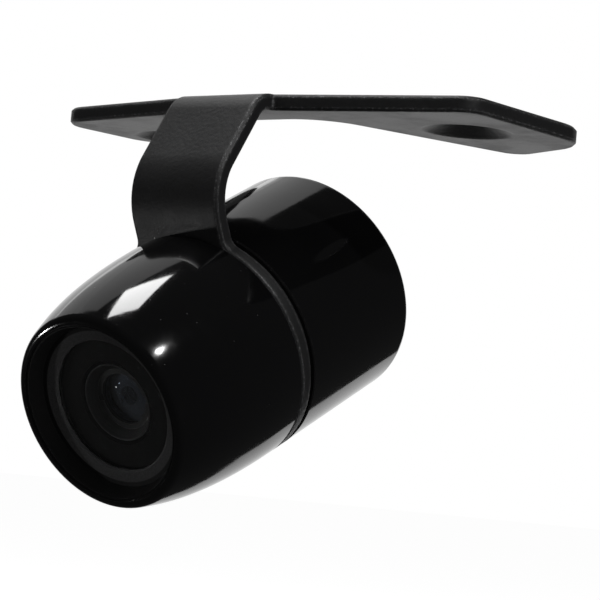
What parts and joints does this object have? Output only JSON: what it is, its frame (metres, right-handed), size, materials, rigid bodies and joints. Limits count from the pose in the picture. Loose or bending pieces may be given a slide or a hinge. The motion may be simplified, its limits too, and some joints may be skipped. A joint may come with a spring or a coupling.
{
  "type": "backup camera",
  "caption": "Backup camera: round black housing clamped through the ring of a bent sheet bracket whose butterfly plate screws up under a bumper or lid.",
  "frame": {"origin": "on the bracket's mounting face, midway between the two screw holes", "axes": "+Z out of the mounting face into the vehicle, -Y to the side the lens looks to, +X to the right of a person behind the camera"},
  "size_m": [0.0537, 0.0483, 0.0416],
  "materials": {
    "bracket_coat": "satin powder coat with a fine sparkle",
    "gloss_shell": "gloss black",
    "bezel_black": "matte black, fine grain",
    "window_glass": "clear flat glass",
    "seal_rubber": "matte black rubber",
    "baffle_black": "flat black",
    "washer_white": "slippery white plastic",
    "lens_black": "satin black",
    "lens_glass": "coated glass",
    "filter_glass": "blue-green filter glass",
    "chip_black": "matte moulded",
    "board_green": "solder mask",
    "screw_steel": "bright zinc",
    "brass": "turned",
    "socket_plastic": "natural nylon",
    "ferrite": "matt ferrite",
    "capacitor_tan": "ceramic"
  },
  "bodies": {
    "bracket": {"mounting_bracket": "bracket_coat"},
    "camera": {"front_housing": "gloss_shell", "front_bezel": "bezel_black", "front_window": "window_glass", "window_gasket": "seal_rubber", "light_baffle": "baffle_black", "slip_washer": "washer_white", "spigot_seal": "seal_rubber", "lens_holder": "lens_black", "infrared_filter": "filter_glass", "image_sensor": "chip_black", "sensor_board": "board_green", "holder_screws": "screw_steel", "board_standoffs": "brass", "video_board": "board_green", "board_screws": "screw_steel", "board_header": "socket_plastic", "sensor_crystal": "screw_steel", "video_processor": "chip_black", "supply_inductor": "ferrite", "board_capacitors": "capacitor_tan", "cable_socket": "socket_plastic", "socket_pins": "brass"},
    "lens_ring": {"lens_seal": "seal_rubber"},
    "lens": {"lens_barrel": "lens_black", "lens_retaining_ring": "lens_black", "front_element": "lens_glass", "aperture_stop": "lens_black", "middle_element": "lens_glass", "lens_spacer": "lens_black", "rear_element": "lens_glass"},
    "gasket": {"clamp_gasket": "seal_rubber"},
    "rear_cover": {"rear_housing": "gloss_shell", "cable_gland": "bezel_black", "gland_nut": "bezel_black", "gland_grommet": "seal_rubber"}
  },
  "joints": [
    {"name": "camera_roll", "type": "hinge", "parent": "bracket", "child": "camera", "pos_m": [0, -0.0152, -0.02559], "axis": [0, 0.891, 0.454], "range_deg": [-180, 180]},
    {"name": "cover_travel", "type": "slide", "parent": "camera", "child": "gasket", "axis": [0, 0.891, 0.454], "range_m": [0, 0.003]},
    {"name": "cover_turn", "type": "hinge", "parent": "gasket", "child": "rear_cover", "pos_m": [0, -0.00628, -0.02105], "axis": [0, -0.891, -0.454], "range_deg": [0, 1080]},
    {"name": "focus_travel", "type": "slide", "parent": "camera", "child": "lens_ring", "axis": [0, 0.891, 0.454], "range_m": [-0.000175, 0.000175]},
    {"name": "focus_turn", "type": "hinge", "parent": "lens_ring", "child": "lens", "pos_m": [0, -0.02411, -0.03012], "axis": [0, 0.891, 0.454], "range_deg": [-180, 180]}
  ],
  "couplings": [
    {"joint": "cover_travel", "follows": "cover_turn", "m_per_rad": 0.00015915},
    {"joint": "focus_turn", "follows": "focus_travel", "rad_per_m": 17952}
  ]
}
